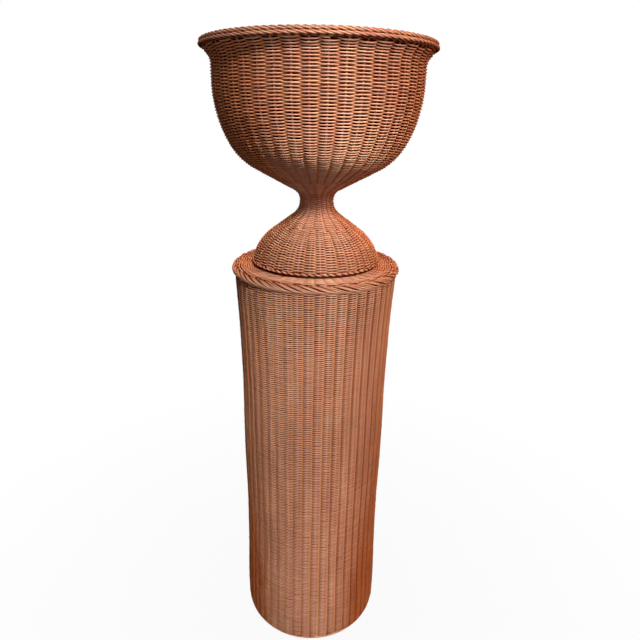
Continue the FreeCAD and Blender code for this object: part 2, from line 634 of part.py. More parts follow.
def liner_side(inset):
    """Base line, rounded corner and sloping side of one face of the sheet."""
    radius = corner - inset
    face_rim = rim - inset / math.sin(lean)
    distance = math.hypot(face_rim - base, height - corner)
    bend = math.atan2(height - corner, face_rim - base) - math.acos(radius / distance)
    touch = (base + radius * math.cos(bend), corner + radius * math.sin(bend), 0)
    floor_line = add_line(sketch, (0, inset, 0), (base, inset, 0))
    round_arc = add_arc(sketch, (base, corner, 0), radius, -90, math.degrees(bend))
    side_line = add_line(sketch, touch, (face_rim, height, 0))
    join(sketch, "Tangent", floor_line, 2, round_arc, 1)
    join(sketch, "Tangent", round_arc, 2, side_line, 1)
    sketch.addConstraint(Sketcher.Constraint("Horizontal", floor_line))
    sketch.addConstraint(Sketcher.Constraint("PointOnObject", floor_line, 1, -2))
    place(sketch, floor_line, 2, "places.liner_base")
    return floor_line, round_arc, side_line


outer = liner_side(0)
inner = liner_side(sheet)
sketch.addConstraint(Sketcher.Constraint("PointOnObject", outer[0], 2, -1))
fix(sketch, "sizes.liner_corner", "Radius", outer[1])
place(sketch, outer[2], 2, "places.liner_rim", "places.liner_height")
place(sketch, inner[0], 2, up="sizes.liner_wall")
fix(sketch, "sizes.liner_corner - sizes.liner_wall", "Radius", inner[1])
place(sketch, inner[2], 2, up="places.liner_height")
sketch.addConstraint(Sketcher.Constraint("Parallel", outer[2], inner[2]))
for line, vertex in ((0, 1), (2, 2)):
    edge = add_line(sketch, end_point(sketch, (outer[line], vertex)), end_point(sketch, (inner[line], vertex)))
    join(sketch, "Coincident", edge, 1, outer[line], vertex)
    join(sketch, "Coincident", edge, 2, inner[line], vertex)
revolve(liner, sketch)
bead = new_sketch(liner, "pot_liner_bead", "XZ_Plane")
add_circle(bead, "places.liner_rim", "places.liner_height", "sizes.liner_bead / 2")
revolve(liner, bead)
bind(liner, Placement__Base__z="places.floor_top")
nodes["pot_liner"] = liner

# Check and write

doc.recompute()
for thing in doc.Objects:
    if {"Invalid", "Error"} & set(thing.State):
        raise RuntimeError(f"{thing.Name} did not build: {thing.State}")
os.makedirs("parts", exist_ok=True)
for label, piece in nodes.items():
    piece.Label = label
    shape = piece.Shape
    if shape.isNull() or not shape.isValid() or not shape.Solids:
        raise RuntimeError(f"{label} has no valid shape")
    shape.exportStep(f"parts/{label}.step")
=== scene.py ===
import math

import bpy
import numpy as np
from mathutils import Matrix, Vector


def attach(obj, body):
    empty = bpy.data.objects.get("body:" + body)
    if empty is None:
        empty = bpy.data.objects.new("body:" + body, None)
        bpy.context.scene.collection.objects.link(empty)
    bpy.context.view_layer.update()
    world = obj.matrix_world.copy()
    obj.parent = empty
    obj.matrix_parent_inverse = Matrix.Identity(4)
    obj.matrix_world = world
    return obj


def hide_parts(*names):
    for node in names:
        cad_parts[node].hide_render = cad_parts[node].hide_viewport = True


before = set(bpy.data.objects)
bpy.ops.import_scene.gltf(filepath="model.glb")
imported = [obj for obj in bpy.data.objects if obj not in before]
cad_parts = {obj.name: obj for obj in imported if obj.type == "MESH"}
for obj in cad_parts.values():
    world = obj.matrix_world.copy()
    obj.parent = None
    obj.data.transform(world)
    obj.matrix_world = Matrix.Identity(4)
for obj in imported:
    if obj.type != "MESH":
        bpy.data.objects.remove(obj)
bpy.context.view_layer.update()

# Sizes of the reed. Sizes are in metres, and those of the solids where they have them too

MM = 0.001
STRAND = 1.32 * MM           # radius of the woven reed
BOWL_STRAND = 1.42 * MM      # the bowl's reed is a little thicker
STAKE = 2.1 * MM             # radius of the stakes and spokes
PRESSED = 0.75               # thickness of a stake to its width, where the strands press on it
SWING = PRESSED * STAKE + STRAND            # a strand's swing to each side of the middle of the wall
BOWL_SWING = PRESSED * STAKE + BOWL_STRAND
DEPTH = SWING + STRAND                      # outer face of a wall to its middle
BOWL_DEPTH = BOWL_SWING + BOWL_STRAND
SHADE_SHELL = 0.25 * MM           # half the thickness of the dark shell of painted shade behind the strands
SNAP = 0.075                 # how quickly a strand crosses from one side of the wall to the other
BOWL_SNAP = 0.045

# How uneven hand-woven reed is

LOOSENESS = 0.09             # of a strand's swing, from stake to stake
SLACK = 0.14 * MM            # of a strand's height, from stake to stake
BULGE = 0.35 * MM            # of a wall, in and out
SAG = 0.55 * MM              # of the rows, up and down
LEAN = 1.3 * MM              # of the stakes, to the side
TAPER = 0.06                 # of a strand's thickness
JITTER = 0.3 * MM            # of a border's reeds, in and out
WAVES = [(2, 9), (5, 23), (11, 14), (17, 31)]    # times round the axis, and climb along the wall
WAVE_SHIFT = 1.7             # keeps the waves of one seed from starting together
rng = np.random.default_rng(20)

# Sizes of the column

FRONT = -math.pi / 2         # the angle round the axis that faces the camera
COLUMN_RADIUS = 178 * MM
COLUMN_BOTTOM = 8 * MM
COLUMN_TOP = 984 * MM        # behind the lower edge of the border
COLUMN_STAKES = 49
COLUMN_TURN = FRONT + math.pi / COLUMN_STAKES
COLUMN_PITCH = 2.42 * MM     # from one row of the weave to the next
COLUMN_PARTS = 6             # pieces that the weave is made in
# Height, and how far the wall stands out there, as a hand-woven wall does, both in mm
COLUMN_SWELL = [
    (0, 3.0), (60, 4.0), (119, 2.6), (178, 0.2), (296, -1.4), (355, -2.0),
    (473, 0.0), (591, 0.0), (709, -1.4), (827, 0.8), (886, 2.4), (930, 5.0), (1000, 8.0),
]
SWELL_BLEND = 30 * MM        # height above and below over which the swell is smoothed
SWELL_STEPS, BLEND_STEPS = 400, 13
BASE_ROPE_RADII = (176.6 * MM, 171.0 * MM)
BASE_ROPE_HEIGHT = 4.6 * MM

# Sizes of the column's border and woven top

BORDER_RADIUS = 178 * MM
BORDER_HEIGHT = 990 * MM
BORDER_SECTION = 13 * MM     # radius of the plaited border
BORDER_CORE = 8 * MM         # radius of the ring that it is laid round
PLAIT_LIFT = 1 * MM          # how far the plait stands out of the border
LEVEL = -math.pi / 2         # heading of a line that runs level towards the axis
SHOULDER = math.radians(50)  # where the top's weave starts, on the shoulder of the border
DIP = math.radians(20)       # slope of the step from the border down to the flat top
DIP_BEND = 25 * MM
TOP_HEIGHT = 1000 * MM
TOP_PITCH = 2.62 * MM
TOP_WEAVE_START = 0.5 * MM   # along the wall, and so is the next
TOP_SPOKE_START = 0.3 * MM
TOP_HUB = 36 * MM            # inside this radius the spokes lie in groups
TOP_CENTRE = 9 * MM          # radius at which the weave ends
HUB_SPOKES = 15

# Sizes of the urn's foot

FOOT_RADIUS = 143.5 * MM
FOOT_BOTTOM = 1010 * MM
FOOT_EDGE = 1008 * MM        # middle of the rope round the foot, which stands clear of the column's top
FOOT_LEAN = math.radians(12)
FOOT_SLOPE = math.radians(54)
FOOT_ROUND = 105 * MM
FOOT_HOLLOW = 38 * MM
FOOT_STAKES = 37
FOOT_TURN = FRONT + math.pi / FOOT_STAKES
FOOT_GROUPS = 19             # the stakes lie in pairs near the neck
FOOT_GROUPING = 1085 * MM    # height above which they do
FOOT_PITCH = 2.7 * MM
FOOT_ROPE_INSET = 1.6 * MM   # from the foot's radius to the middle of the rope, and of the ring
FOOT_RING_INSET = 5.6 * MM
FOOT_RING = 2.9 * MM         # radius of the ring that the foot stands on
FOOT_RING_HEIGHT = 3 * MM    # above the column's top
GROUPING_LENGTH = 30 * MM    # of wall, over which the stakes come together

# Sizes of the urn's neck, bowl and rim

NECK_RADIUS = 38 * MM
NECK_HEIGHT = 1139.4 * MM
NECK_PITCH = 2.5 * MM
NECK_OVERLAP = 0.4           # of a row, so that no gap shows where the foot's two weaves meet
BOWL_RADIUS = 217 * MM
BOWL_SLOPE = math.radians(62)
BOWL_SIDE_SLOPE = math.radians(30)
BOWL_HOLLOW = 25 * MM
BOWL_ROUND = 125 * MM
BOWL_SIDE = 235 * MM
BOWL_UPRIGHT = 33 * MM
FLARE_ANGLE = math.radians(42)
FLARE_RADIUS = 26 * MM
FLARE_LINE = 12 * MM
BOWL_STAKES = 43
BOWL_TURN = FRONT + math.pi / BOWL_STAKES + math.radians(0.7)
BOWL_GROUPS = 21
BOWL_GROUPING = 1186 * MM    # height below which the bowl's stakes lie in pairs
BOWL_PITCH = 2.78 * MM
BOWL_PARTS = 3
RIM_RADIUS = 229.3 * MM
RIM_HEIGHT = 1438.6 * MM
# How far out and up each rope of the rim lies, in mm, and the turn at which it starts
RIM_ROPES = [(5.0, -1.4, 0.0), (3.2, 5.3, 0.9), (-3.2, 3.6, 0.4), (-2.2, -3.0, 1.7)]


# Lines of the walls

LINE_STEPS, BEND_STEPS = 60, 40


def round_axis(radius, angle, height):
    """Points, or directions, at a radius and an angle round the axis and at a height."""
    height = np.broadcast_to(height, angle.shape)
    return np.stack([radius * np.cos(angle), radius * np.sin(angle), height], 1)


def walk(radius, height, heading, moves):
    """Points of a wall's outer line. Each move is (length, None) straight on, or (radius, new heading) for a
    bend. A heading is the angle from upright, outwards."""
    points = [(radius, height)]
    for reach, target in moves:
        radius, height = points[-1]
        if target is None:
            way = np.linspace(0, reach, LINE_STEPS)[1:]
            new_radius = radius + way * math.sin(heading)
            new_height = height + way * math.cos(heading)
        else:
            turn = np.linspace(heading, target, BEND_STEPS)[1:]
            side = math.copysign(reach, target - heading)
            new_radius = radius + side * (math.cos(heading) - np.cos(turn))
            new_height = height + side * (np.sin(turn) - math.sin(heading))
            heading = target
        points.extend(zip(new_radius, new_height))
    return np.array(points)


class Wall:
    """The middle of a woven wall, a line turned round the axis."""

    def __init__(self, outer, depth):
        radius, height = outer.T
        heading = np.arctan2(np.gradient(radius), np.gradient(height))
        self.radius = radius - depth * np.cos(heading)
        self.height = height + depth * np.sin(heading)
        self.heading = heading
        steps = np.hypot(np.diff(self.radius), np.diff(self.height))
        self.way = np.concatenate([[0], np.cumsum(steps)])
        self.length = self.way[-1]

    def way_at(self, height):
        """Distance along the wall's line where it reaches a height."""
        return float(np.interp(height, self.height, self.way))

    def place(self, way, angle, out):
        """Points at a distance along the line, an angle round the axis and a distance out of the wall's
        middle, and the wall's outward direction there."""
        heading = np.interp(way, self.way, self.heading)
        radius = np.interp(way, self.way, self.radius) + out * np.cos(heading)
        height = np.interp(way, self.way, self.height) - out * np.sin(heading)
        facing = round_axis(np.cos(heading), angle, -np.sin(heading))
        return round_axis(radius, angle, height), facing


def waver(angle, way, seed):
    """A smooth unevenness from -1 to 1 that goes once round without a seam."""
    total = 0
    for number, (times, climb) in enumerate(WAVES):
        total = total + np.sin(times * angle + climb * way + seed * (number + WAVE_SHIFT))
    return total / len(WAVES)


# Reeds gathered into one mesh

LANE_EDGE = 0.03             # share of a lane on the texture map that stays free at each edge
CAP_RADIUS = 0.4             # of a reed's end on the texture map, where it has a lane's width
FIBRE_WIDTH = 3.7            # of a reed on the map that its fibres follow
FIBRE_LENGTH = 400           # of that map, on which each reed starts at a place of its own


class Bundle:
    """The reeds of one piece. Each stretch of reed has its own lane on the piece's texture map."""

    def __init__(self):
        self.points = []
        self.crests = []
        self.flanks = []
        self.quads = []
        self.quad_lanes = []
        self.quad_fibres = []
        self.caps = []
        self.cap_fibres = []
        self.total = 0
        self.lanes = 0

    def add(self, path, facing, radius, crest, flank=0.0, sides=6, lane_steps=None, closed=False, flat=1.0):
        """One round reed along a path. facing points out of the wall, and flat is its thickness that way.
        crest is how far out of the wall it is, or how deep it is to be painted, and flank where it turns in
        to the right, both from -1 to 1; the reed's material paints shade, highlight and flank light from
        them."""
        steps = len(path)
        if closed:
            ahead = np.roll(path, -1, 0) - np.roll(path, 1, 0)
        else:
            ahead = np.gradient(path, axis=0)
        ahead /= np.linalg.norm(ahead, axis=1, keepdims=True)
        beside = np.cross(ahead, facing)
        beside /= np.linalg.norm(beside, axis=1, keepdims=True)
        facing = np.cross(beside, ahead)
        turn = 2 * np.pi * np.arange(sides) / sides
        ring = flat * np.cos(turn)[None, :, None] * facing[:, None, :]
        ring = ring + np.sin(turn)[None, :, None] * beside[:, None, :]
        radius = np.broadcast_to(radius, (steps,))
        self.points.append((path[:, None, :] + radius[:, None, None] * ring).reshape(-1, 3))
        self.crests.append(np.repeat(np.broadcast_to(crest, (steps,)), sides))
        self.flanks.append(np.repeat(np.broadcast_to(flank, (steps,)), sides))

        spans = steps if closed else steps - 1
        span = np.repeat(np.arange(spans), sides)
        side = np.tile(np.arange(sides), spans)
        here = self.total + span * sides
        after = self.total + (span + 1) % steps * sides
        other = (side + 1) % sides
        self.quads.append(np.stack([here + side, here + other, after + other, after + side], 1))
        length = self.lay_out(path, span, side / sides, (side + 1) / sides, lane_steps or spans)

        if not closed:
            first = self.total + np.arange(sides)[::-1]
            last = self.total + (steps - 1) * sides + np.arange(sides)
            self.caps.extend([first, last])
            self.cap_fibres.extend([length[0], length[steps - 1]])
        self.total += steps * sides
        self.lanes += math.ceil(spans / (lane_steps or spans))

    def lay_out(self, path, span, left, right, lane_steps):
        """Puts a reed's faces on the texture map and on the map of its fibres, and gives its length up to
        each step."""
        lane = self.lanes + span // lane_steps
        start = span % lane_steps / lane_steps
        end = start + 1 / lane_steps
        low = lane + LANE_EDGE + (1 - 2 * LANE_EDGE) * left
        high = lane + LANE_EDGE + (1 - 2 * LANE_EDGE) * right
        across = np.stack([low, high, high, low], 1)
        along = np.stack([start, start, end, end], 1)
        self.quad_lanes.append(np.stack([along, across], 2))
        step = np.linalg.norm(np.diff(path, axis=0), axis=1)
        length = np.concatenate([[0], np.cumsum(step), [step.sum() + step[-1]]])
        length = length + rng.uniform(0, FIBRE_LENGTH)
        along = np.stack([length[span], length[span], length[span + 1], length[span + 1]], 1)
        self.quad_fibres.append(np.stack([along, across * FIBRE_WIDTH], 2))
        return length

    def mesh(self, name):
        """The mesh, with its texture map in lanes, the map of its fibres, and its crests and flanks."""
        quads = np.concatenate(self.quads)
        corners = np.concatenate([quads.ravel()] + self.caps).astype(np.int32)
        sizes = np.concatenate([np.full(len(quads), 4), [len(cap) for cap in self.caps]]).astype(np.int32)
        points = np.concatenate(self.points).astype(np.float32)
        mesh = bpy.data.meshes.new(name)
        mesh.vertices.add(len(points))
        mesh.vertices.foreach_set("co", points.ravel())
        mesh.loops.add(len(corners))
        mesh.loops.foreach_set("vertex_index", corners)
        mesh.polygons.add(len(sizes))
        mesh.polygons.foreach_set("loop_start", (np.cumsum(sizes) - sizes).astype(np.int32))
        mesh.update(calc_edges=True)
        mesh.polygons.foreach_set("use_smooth", np.ones(len(sizes), bool))

        lanes = [np.concatenate(self.quad_lanes).reshape(-1, 2)]
        fibres = [np.concatenate(self.quad_fibres).reshape(-1, 2)]
        for number, cap in enumerate(self.caps):
            turn = 2 * np.pi * np.arange(len(cap)) / len(cap)
            along = (number + 0.5 + CAP_RADIUS * np.cos(turn)) / len(self.caps)
            lanes.append(np.stack([along, self.lanes + 0.5 + CAP_RADIUS * np.sin(turn)], 1))
            fibres.append(np.full((len(cap), 2), self.cap_fibres[number]))
        lanes = np.concatenate(lanes) / (1, self.lanes + 1)
        for layer, spots in [("OFBake", lanes), ("Fibre", np.concatenate(fibres))]:
            mesh.uv_layers.new(name=layer).data.foreach_set("uv", spots.astype(np.float32).ravel())
        for layer, values in [("crest", self.crests), ("flank", self.flanks)]:
            values = np.concatenate(values).astype(np.float32)
            mesh.attributes.new(layer, "FLOAT", "POINT").data.foreach_set("value", values)
        return mesh


class ShadeShell:
    """A thin dark closed shell behind a wall's strands: painted shade that stands for the wall's unlit depth,
    so that no light comes through between them.
    """

    def __init__(self, wall, around=96, rings=48):
        way = np.linspace(0, wall.length, rings)
        way = np.concatenate([way, way[::-1]])
        out = -SWING + np.repeat([SHADE_SHELL, -SHADE_SHELL], rings)
        loop = len(way)
        self.points, self.faces, self.spots = [], [], []
        for number in range(around):
            angle = np.full(loop, 2 * np.pi * number / around)
            self.points.extend(wall.place(way, angle, out)[0])
            here, after = number * loop, (number + 1) % around * loop
            left, right = number / around, (number + 1) / around
            for ring in range(loop):
                above = (ring + 1) % loop
                self.faces.append([here + ring, after + ring, after + above, here + above])
                low, high = ring / loop, (ring + 1) / loop
                self.spots.extend([(left, low), (right, low), (right, high), (left, high)])

    def mesh(self, name):
        """The mesh, with its texture map."""
        mesh = bpy.data.meshes.new(name)
        mesh.from_pydata(self.points, [], self.faces)
        spots = np.array(self.spots, np.float32)
        mesh.uv_layers.new(name="OFBake").data.foreach_set("uv", spots.ravel())
        return mesh


def piece(shape, name, body, material, slot, *nodes):
    """Makes a bundle or a shell of painted shade a piece that rides on a body and stands for CAD nodes."""
    made = bpy.data.objects.new(name, shape.mesh(name))
    bpy.context.scene.collection.objects.link(made)
    made.data.materials.append(material)
    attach(made, body)
    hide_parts(*nodes)


# Weaving

def weave(wall, count, start, rows, pitch, turn, strand=STRAND, swing=SWING, snap=SNAP, seed=1.0, first_row=0,
          steps=4, sides=5):
    """A strand that goes round and round a wall, over one stake and under the next. It lies along the stakes
    and crosses the wall quickly between two. The odd number of stakes makes each row pass behind the stakes
    that the row below it passes in front of."""
    bundle = Bundle()
    stake = np.arange(rows * count * steps + 1) / steps
    turns = (stake + snap * np.sin(2 * np.pi * stake)) / count
    angle = 2 * np.pi * turns
    way = start + pitch * turns
    phase = np.pi * (stake + first_row * count)
    side = np.sin(np.pi / 2 * np.cos(phase))
    crossings = np.arange(rows * count + 2)
    loose = np.interp(stake, crossings, rng.normal(1, LOOSENESS, len(crossings)))
    slack = np.interp(stake, crossings, rng.normal(0, SLACK, len(crossings)))
    out = swing * side * loose + BULGE * waver(angle, way, seed)
    sag = SAG * waver(angle, 0.2 * way, seed + 2) + slack
    lean = stake_lean(angle + turn, way, wall)
    path, facing = wall.place(np.clip(way + sag, 0, wall.length), angle + turn + lean, out)
    thick = strand * (1 + TAPER * waver(7 * angle, 40 * way, seed + 4))
    # How far out the strand lies sets its painted deep shade and highlight, and the phase its painted flank
    # light and shade
    bundle.add(path, facing, thick, side, np.sin(phase), sides, lane_steps=count * steps)
    return bundle


def weave_in_parts(wall, count, start, pitch, turn, parts, name, body, material, node, **reed):
    """A wall's weave from a start up to its end, as several pieces with about as many rows each."""
    rows = int((wall.length - start) / pitch)
    rows_each = math.ceil(rows / parts)
    for part in range(parts):
        first = part * rows_each
        part_rows = min(rows, first + rows_each) - first
        bundle = weave(wall, count, start + first * pitch, part_rows, pitch, turn, first_row=first, **reed)
        piece(bundle, f"{name}_{part + 1}", body, material, "weave", node)


def stake_lean(angle, way, wall):
    """How far, as an angle, a stake stands out of its even place."""
    radius = np.interp(way, wall.way, wall.radius)
    return LEAN * waver(angle * 3, way * 0.55, 5.0) / np.maximum(radius, 0.1)


def stakes(wall, angles, start, end, spacing=12 * MM):
    """Rods along a wall. angles gives each rod's angle at each distance along the wall."""
    bundle = Bundle()
    way = np.linspace(start, end, max(2, int((end - start) / spacing)))
    for angle in angles(way):
        path, facing = wall.place(way, angle + stake_lean(angle, way, wall), np.zeros(len(way)))
        # Stakes get painted shade, as lying deep in the wall
        bundle.add(path, facing, STAKE, crest=-0.6, flat=PRESSED)
    return bundle


def even_angles(count, turn):
    """Stakes at even angles all the way."""
    def angles(way):
        return [np.full(len(way), turn + 2 * np.pi * number / count) for number in range(count)]
    return angles


def grouped_angles(wall, count, groups, turn, open_way, shut_way):
    """Stakes at even angles at open_way that come together in groups at shut_way."""
    def group_of(number):
        if groups * 2 > count:
            return (number + 1) // 2
        return number * groups // count

    def angles(way):
        share = np.clip((way - open_way) / (shut_way - open_way), 0, 1)
        share = share * share * (3 - 2 * share)
        radius = np.interp(way, wall.way, wall.radius)
        lines = []
        for number in range(count):
            group = group_of(number)
            members = [other for other in range(count) if group_of(other) == group]
            place = members.index(number) - (len(members) - 1) / 2
            apart = turn + 2 * np.pi * number / count
            together = turn + 2 * np.pi * group / groups + place * 2 * STAKE / radius
            gap = (together - apart + np.pi) % (2 * np.pi) - np.pi
            lines.append(apart + share * gap)
        return lines
    return angles


# Borders

def ring_core(bundle, radius, height, thick, steps=160, sides=12):
    """A plain reed ring that a border is laid round."""
    angle = 2 * np.pi * np.arange(steps) / steps
    path = round_axis(radius, angle, height)
    # The ring gets the darkest painted shade
    bundle.add(path, round_axis(1, angle, 0), thick, crest=-1.0, sides=sides, closed=True)


def rope(bundle, radius, height, strands, twists, reach, thick, steps=12, start=0.0):
    """Strands twisted round each other into a ring. Seen from outside they run down to the right."""
    angle = 2 * np.pi * np.arange(twists * steps) / (twists * steps)
    for number in range(strands):
        turn = start - twists * angle + 2 * np.pi * number / strands
        wobble = reach * (1 + 0.10 * waver(angle * 3, angle, start + number))
        path = round_axis(radius + wobble * np.cos(turn), angle, height + wobble * np.sin(turn))
        outward = round_axis(np.cos(turn), angle, np.sin(turn))
        size = thick * (1 + 0.05 * waver(angle * 5, angle, start + number + 9))
        # Painted shade where a strand turns in towards the rope's middle
        crest = np.clip(1.9 * np.cos(turn) - 0.9, -1, 1)
        bundle.add(path, outward, size, crest, closed=True)


def border_reed_path(radius, height, angle, tilt, out):
    """Path and outward direction of a reed on a border's ring. tilt is the angle round the ring's own line,
    up from outwards, and out the distance from that line."""
    path = round_axis(radius + out * np.cos(tilt), angle, height + out * np.sin(tilt))
    return path, round_axis(np.cos(tilt), angle, np.sin(tilt))


def plait(bundle, radius, height, section, count, reeds, span, top, low, thick, turn, steps=26, sides=7):
    """A border of reeds that come over the top of a ring, run down its outer side to the right, flatter and
    flatter, and tuck under it. span is a reed's length in stakes, and top and low its first and last tilt."""
    share = np.linspace(0, 1, steps)
    ease = 1 - (1 - share) ** 1.3
    rise = np.sin(np.pi * np.clip(share * 1.1, 0, 1)) ** 0.6
    apart = 0.34
    sink = 1.6 * MM
    for number in range(count):
        for reed in range(reeds):
            begin = turn + 2 * np.pi * (number + apart * reed) / count
            reach = span * (1 + rng.uniform(-0.05, 0.05))
            angle = begin + share * reach * 2 * np.pi / count
            tilt = top + (low - top) * ease + rng.uniform(-0.08, 0.08)
            out = (section - thick) * (0.55 + 0.45 * rise) - sink * share + rng.uniform(-JITTER, JITTER)
            path, outward = border_reed_path(radius, height, angle, tilt, out)
            size = thick * (0.75 + 0.25 * rise) * rng.uniform(0.92, 1.06)
            # Painted shade towards a reed's ends, where it sinks under its neighbours
            bundle.add(path, outward, size, 2 * rise - 1, sides=sides)


def scallops(bundle, radius, height, section, count, span, low, rise, thick, turn, steps=26, sides=7):
    """Long reeds along the lower edge of a border, each in a shallow arch, that end behind the next one. low
    is the tilt of an arch's ends and rise that of its middle above them."""
    share = np.linspace(0, 1, steps)
    hidden = np.clip(6 * share - 5, 0, 1)
    for number in range(count):
        angle = turn + 2 * np.pi * (number + span * share) / count
        tilt = low + rise * np.sin(np.pi * share) ** 0.8 + rng.uniform(-0.06, 0.06)
        out = section - thick * (0.2 + 1.6 * share) + rng.uniform(-JITTER, JITTER)
        path, outward = border_reed_path(radius, height, angle, tilt, out)
        # Painted shade on the end that lies behind the next reed
        bundle.add(path, outward, thick * rng.uniform(0.9, 1.06), 0.9 - 1.9 * hidden, sides=sides)


# Node trees

WHITE = (1, 1, 1, 1)


def colour(red, green, blue):
    """A colour given as it looks on a screen, from 0 to 255."""
    levels = [level / 255 for level in (red, green, blue)]
    return [x / 12.92 if x <= 0.04045 else ((x + 0.055) / 1.055) ** 2.4 for x in levels] + [1.0]


class Nodes:
    """A node tree with short ways to add to it. Inputs are values or other nodes' outputs."""

    def __init__(self, tree):
        self.tree = tree

    def add(self, kind, settings=None, *ordered, **named):
        """A node of a kind, with its settings, and its inputs in order or by name."""
        made = self.tree.nodes.new(kind)
        for key, value in (settings or {}).items():
            setattr(made, key, value)
        for number, value in enumerate(ordered):
            self.set(made.inputs[number], value)
        for key, value in named.items():
            self.set(made.inputs[key], value)
        return made

    def set(self, socket, value):
        """Links an output to a socket, or sets the socket to a value."""
        if isinstance(value, bpy.types.NodeSocket):
            self.tree.links.new(value, socket)
        else:
            socket.default_value = value

    def maths(self, operation, *values):
        """A calculation with values."""
        return self.add("ShaderNodeMath", {"operation": operation}, *values).outputs[0]

    def vector(self, operation, *values, result="Vector"):
        """A calculation with vectors."""
        return self.add("ShaderNodeVectorMath", {"operation": operation}, *values).outputs[result]

    def stretch(self, vector, x, y, z):
        """A vector with each of its parts times a factor."""
        return self.vector("MULTIPLY", vector, (x, y, z))

    def split(self, vector):
        """A vector's X, Y and Z."""
        return self.add("ShaderNodeSeparateXYZ", {}, vector).outputs

    def noise(self, vector, detail, scale=1.0, rough=0.5):
        """Smooth noise around 0.5."""
        made = self.add("ShaderNodeTexNoise", Vector=vector, Scale=scale, Detail=detail, Roughness=rough)
        return made.outputs["Fac"]

    def value_of(self, attribute):
        """A value that the mesh has at each point."""
        return self.add("ShaderNodeAttribute", {"attribute_name": attribute}).outputs["Fac"]

    def ramp(self, factor, stops):
        """Colours from stop to stop."""
        made = self.add("ShaderNodeValToRGB", {}, factor)
        band = made.color_ramp
        while len(band.elements) < len(stops):
            band.elements.new(0.5)
        for element, (place, shade) in zip(band.elements, stops):
            element.position = place
            element.color = shade
        return made.outputs["Color"]

    def mix(self, factor, first, second, blend="MIX"):
        """One colour over another."""
        settings = {"data_type": "RGBA", "blend_type": blend}
        return self.add("ShaderNodeMix", settings, Factor=factor, A=first, B=second).outputs["Result"]

    def spread(self, value, low, high, to_low, to_high):
        """A value's range from low to high laid over another range, and no further."""
        made = self.add("ShaderNodeMapRange", {"clamp": True}, value, low, high, to_low, to_high)
        return made.outputs[0]


class Look(Nodes):
    """A material's node tree. place is where a point is on the piece."""

    def __init__(self, name):
        self.material = bpy.data.materials.new(name)
        self.material.use_nodes = True
        super().__init__(self.material.node_tree)
        self.shader = self.tree.nodes["Principled BSDF"]
        self.place = self.add("ShaderNodeTexCoord").outputs["Object"]

    def bump(self, height, distance, strength):
        """Fine relief, in metres."""
        made = self.add("ShaderNodeBump", Height=height, Distance=distance, Strength=strength)
        self.set(self.shader.inputs["Normal"], made.outputs[0])

    def finish(self, base, roughness, metallic=0.0, matt=False):
        """Sets the surface and gives the material."""
        self.set(self.shader.inputs["Base Color"], base)
        self.set(self.shader.inputs["Roughness"], roughness)
        self.shader.inputs["Metallic"].default_value = metallic
        if matt:
            self.shader.inputs["Specular IOR Level"].default_value = 0.0
        return self.material


# Stained reed, and the light and shade painted on it

REED_SHADES = [
    (0.05, colour(148, 80, 57)),
    (0.30, colour(186, 114, 86)),
    (0.52, colour(210, 143, 112)),
    (0.72, colour(226, 170, 141)),
    (0.95, colour(236, 198, 174)),
]
ROSY, YELLOWISH = (1.0, 0.86, 0.86, 1), (1.0, 1.0, 0.86, 1)
RUBBED_AND_HIGHLIT = colour(240, 208, 188)              # where a strand stands out most: paler from wear, and a painted highlight
PAINTED_FLANK_LIGHT = colour(252, 186, 134)          # painted light where it turns in to the right of a stake
PAINTED_FLANK_SHADE = colour(110, 44, 22)            # painted shade where it turns in to the left
DEEP_SHADE = colour(80, 20, 4)                  # painted shade where it lies deep in the wall
PAINTED_SIDE_SHADE = (0.95, 0.69, 0.50, 1.0)        # painted shade: how much darker and redder the reed is where the wall turns away from the front light
PAINTED_SIDE_SHADE_LOW = (0.70, 0.40, 0.23, 1.0)    # and near the floor, where that painted shade is deeper
SIDE_SHADE_LOW, SIDE_SHADE_HIGH = 0.15, 0.6             # heights between which the one goes over into the other
SHADE_WHOLE_BELOW_LOW = 0.7                        # what shade_whole_below is near the floor
REED_LENGTH = 1.3                           # metres of reed with one shade
PATCHES = (11.0, 0.02, 1.0)                 # how often per metre along a reed, and across its map
STREAKS = (60.0, 2.6, 1.0)
STRIPS_ROUND, STRIPS_UP = 7.5, 7.0          # of the wall, round the axis and per metre of height
REED_SHARE, PATCH_SHARE, STREAK_SHARE = 0.14, 0.4, 0.4      # of the shades that each goes through


def reed_shade(look, outward, strip):
    """The reed's own shade and its streaks: each length has its own, with patches and streaks along it, and
    parts of the wall are lighter or more rosy."""
    fibre = look.add("ShaderNodeUVMap", {"uv_map": "Fibre"}).outputs[0]
    length = look.maths("FLOOR", look.maths("DIVIDE", look.split(fibre)["X"], REED_LENGTH))
    reed = look.add("ShaderNodeTexWhiteNoise", {"noise_dimensions": "1D"}, W=length).outputs["Value"]
    patch = look.noise(look.stretch(fibre, *PATCHES), 3.0)
    streak = look.noise(look.stretch(fibre, *STREAKS), 3.0, rough=0.6)
    around = look.stretch(outward, STRIPS_ROUND, STRIPS_ROUND, 0.0)
    meridian = look.vector("ADD", around, look.stretch(look.place, 0.0, 0.0, STRIPS_UP))
    strips = look.noise(meridian, 2.0)
    tone = 0.5
    shares = [(reed, REED_SHARE), (patch, PATCH_SHARE), (streak, STREAK_SHARE), (strips, 2 * strip)]
    for value, share in shares:
        tone = look.maths("MULTIPLY_ADD", look.maths("SUBTRACT", value, 0.5), share, tone)
    warmth = look.noise(look.stretch(meridian, 0.8, 0.8, 2.4), 2.0)
    warmth = look.maths("MULTIPLY_ADD", look.maths("SUBTRACT", patch, 0.5), 0.7, warmth)
    hue = look.ramp(warmth, [(0.36, ROSY), (0.64, YELLOWISH)])
    return look.mix(0.9, look.ramp(tone, REED_SHADES), hue, "MULTIPLY"), streak


